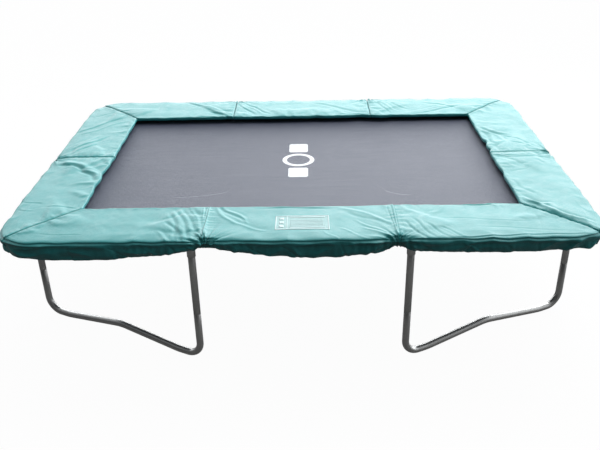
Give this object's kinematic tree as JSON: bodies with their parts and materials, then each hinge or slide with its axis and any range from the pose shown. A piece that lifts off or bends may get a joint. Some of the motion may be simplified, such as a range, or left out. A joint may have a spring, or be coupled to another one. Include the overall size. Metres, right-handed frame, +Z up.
{
  "type": "rectangular trampoline",
  "caption": "Rectangular garden trampoline: a woven bed hung on coil springs in a jointed tube frame, foam edge pads with a skirt, and W-shaped tube legs.",
  "frame": {"origin": "on the ground under the middle of the bed", "axes": "+X along the length to the right, +Y to the back, +Z up"},
  "size_m": [3.08, 2.176, 0.76],
  "materials": {
    "galvanised_tube": "satin",
    "zinc_plated": "satin",
    "spring_wire": "satin",
    "woven_bed": "matte",
    "pad_cover": "satin",
    "webbing": "matte"
  },
  "bodies": {
    "frame": {"leg_base_back_left": "galvanised_tube", "leg_base_back_right": "galvanised_tube", "leg_base_front_left": "galvanised_tube", "leg_base_front_right": "galvanised_tube", "leg_upright_inner_back_left": "galvanised_tube", "leg_upright_inner_back_right": "galvanised_tube", "leg_upright_inner_front_left": "galvanised_tube", "leg_upright_inner_front_right": "galvanised_tube", "leg_upright_outer_back_left": "galvanised_tube", "leg_upright_outer_back_right": "galvanised_tube", "leg_upright_outer_front_left": "galvanised_tube", "leg_upright_outer_front_right": "galvanised_tube", "pad_end_back_left": "pad_cover", "pad_end_back_right": "pad_cover", "pad_end_front_left": "pad_cover", "pad_end_front_right": "pad_cover", "pad_middle_back": "pad_cover", "pad_middle_front": "pad_cover", "pad_side_back_left": "pad_cover", "pad_side_back_right": "pad_cover", "pad_side_front_left": "pad_cover", "pad_side_front_right": "pad_cover", "pad_strap_back_left": "webbing", "pad_strap_back_right": "webbing", "pad_strap_front_left": "webbing", "pad_strap_front_right": "webbing", "rail_corner_back_left": "galvanised_tube", "rail_corner_back_right": "galvanised_tube", "rail_corner_front_left": "galvanised_tube", "rail_corner_front_right": "galvanised_tube", "rail_middle_back": "galvanised_tube", "rail_middle_front": "galvanised_tube", "rail_screw_end_back_left": "zinc_plated", "rail_screw_end_back_right": "zinc_plated", "rail_screw_end_front_left": "zinc_plated", "rail_screw_end_front_right": "zinc_plated", "rail_screw_side_back_left": "zinc_plated", "rail_screw_side_back_right": "zinc_plated", "rail_screw_side_front_left": "zinc_plated", "rail_screw_side_front_right": "zinc_plated", "rail_sleeve_left": "zinc_plated", "rail_sleeve_right": "zinc_plated", "socket_screw_inner_back_left": "zinc_plated", "socket_screw_inner_back_right": "zinc_plated", "socket_screw_inner_front_left": "zinc_plated", "socket_screw_inner_front_right": "zinc_plated", "socket_screw_outer_back_left": "zinc_plated", "socket_screw_outer_back_right": "zinc_plated", "socket_screw_outer_front_left": "zinc_plated", "socket_screw_outer_front_right": "zinc_plated", "spring_row_back": "spring_wire", "spring_row_front": "spring_wire", "spring_row_left": "spring_wire", "spring_row_right": "spring_wire"},
    "bed": {"jumping_bed": "woven_bed"}
  },
  "joints": [
    {"name": "bed_bounce", "type": "slide", "parent": "frame", "child": "bed", "axis": [0, 0, 1], "range_m": [-0.22, 0], "stiffness_N_per_m": 5000, "springref_m": 0.02, "deforming": ["spring_row_front", "spring_row_back", "spring_row_left", "spring_row_right"]}
  ]
}
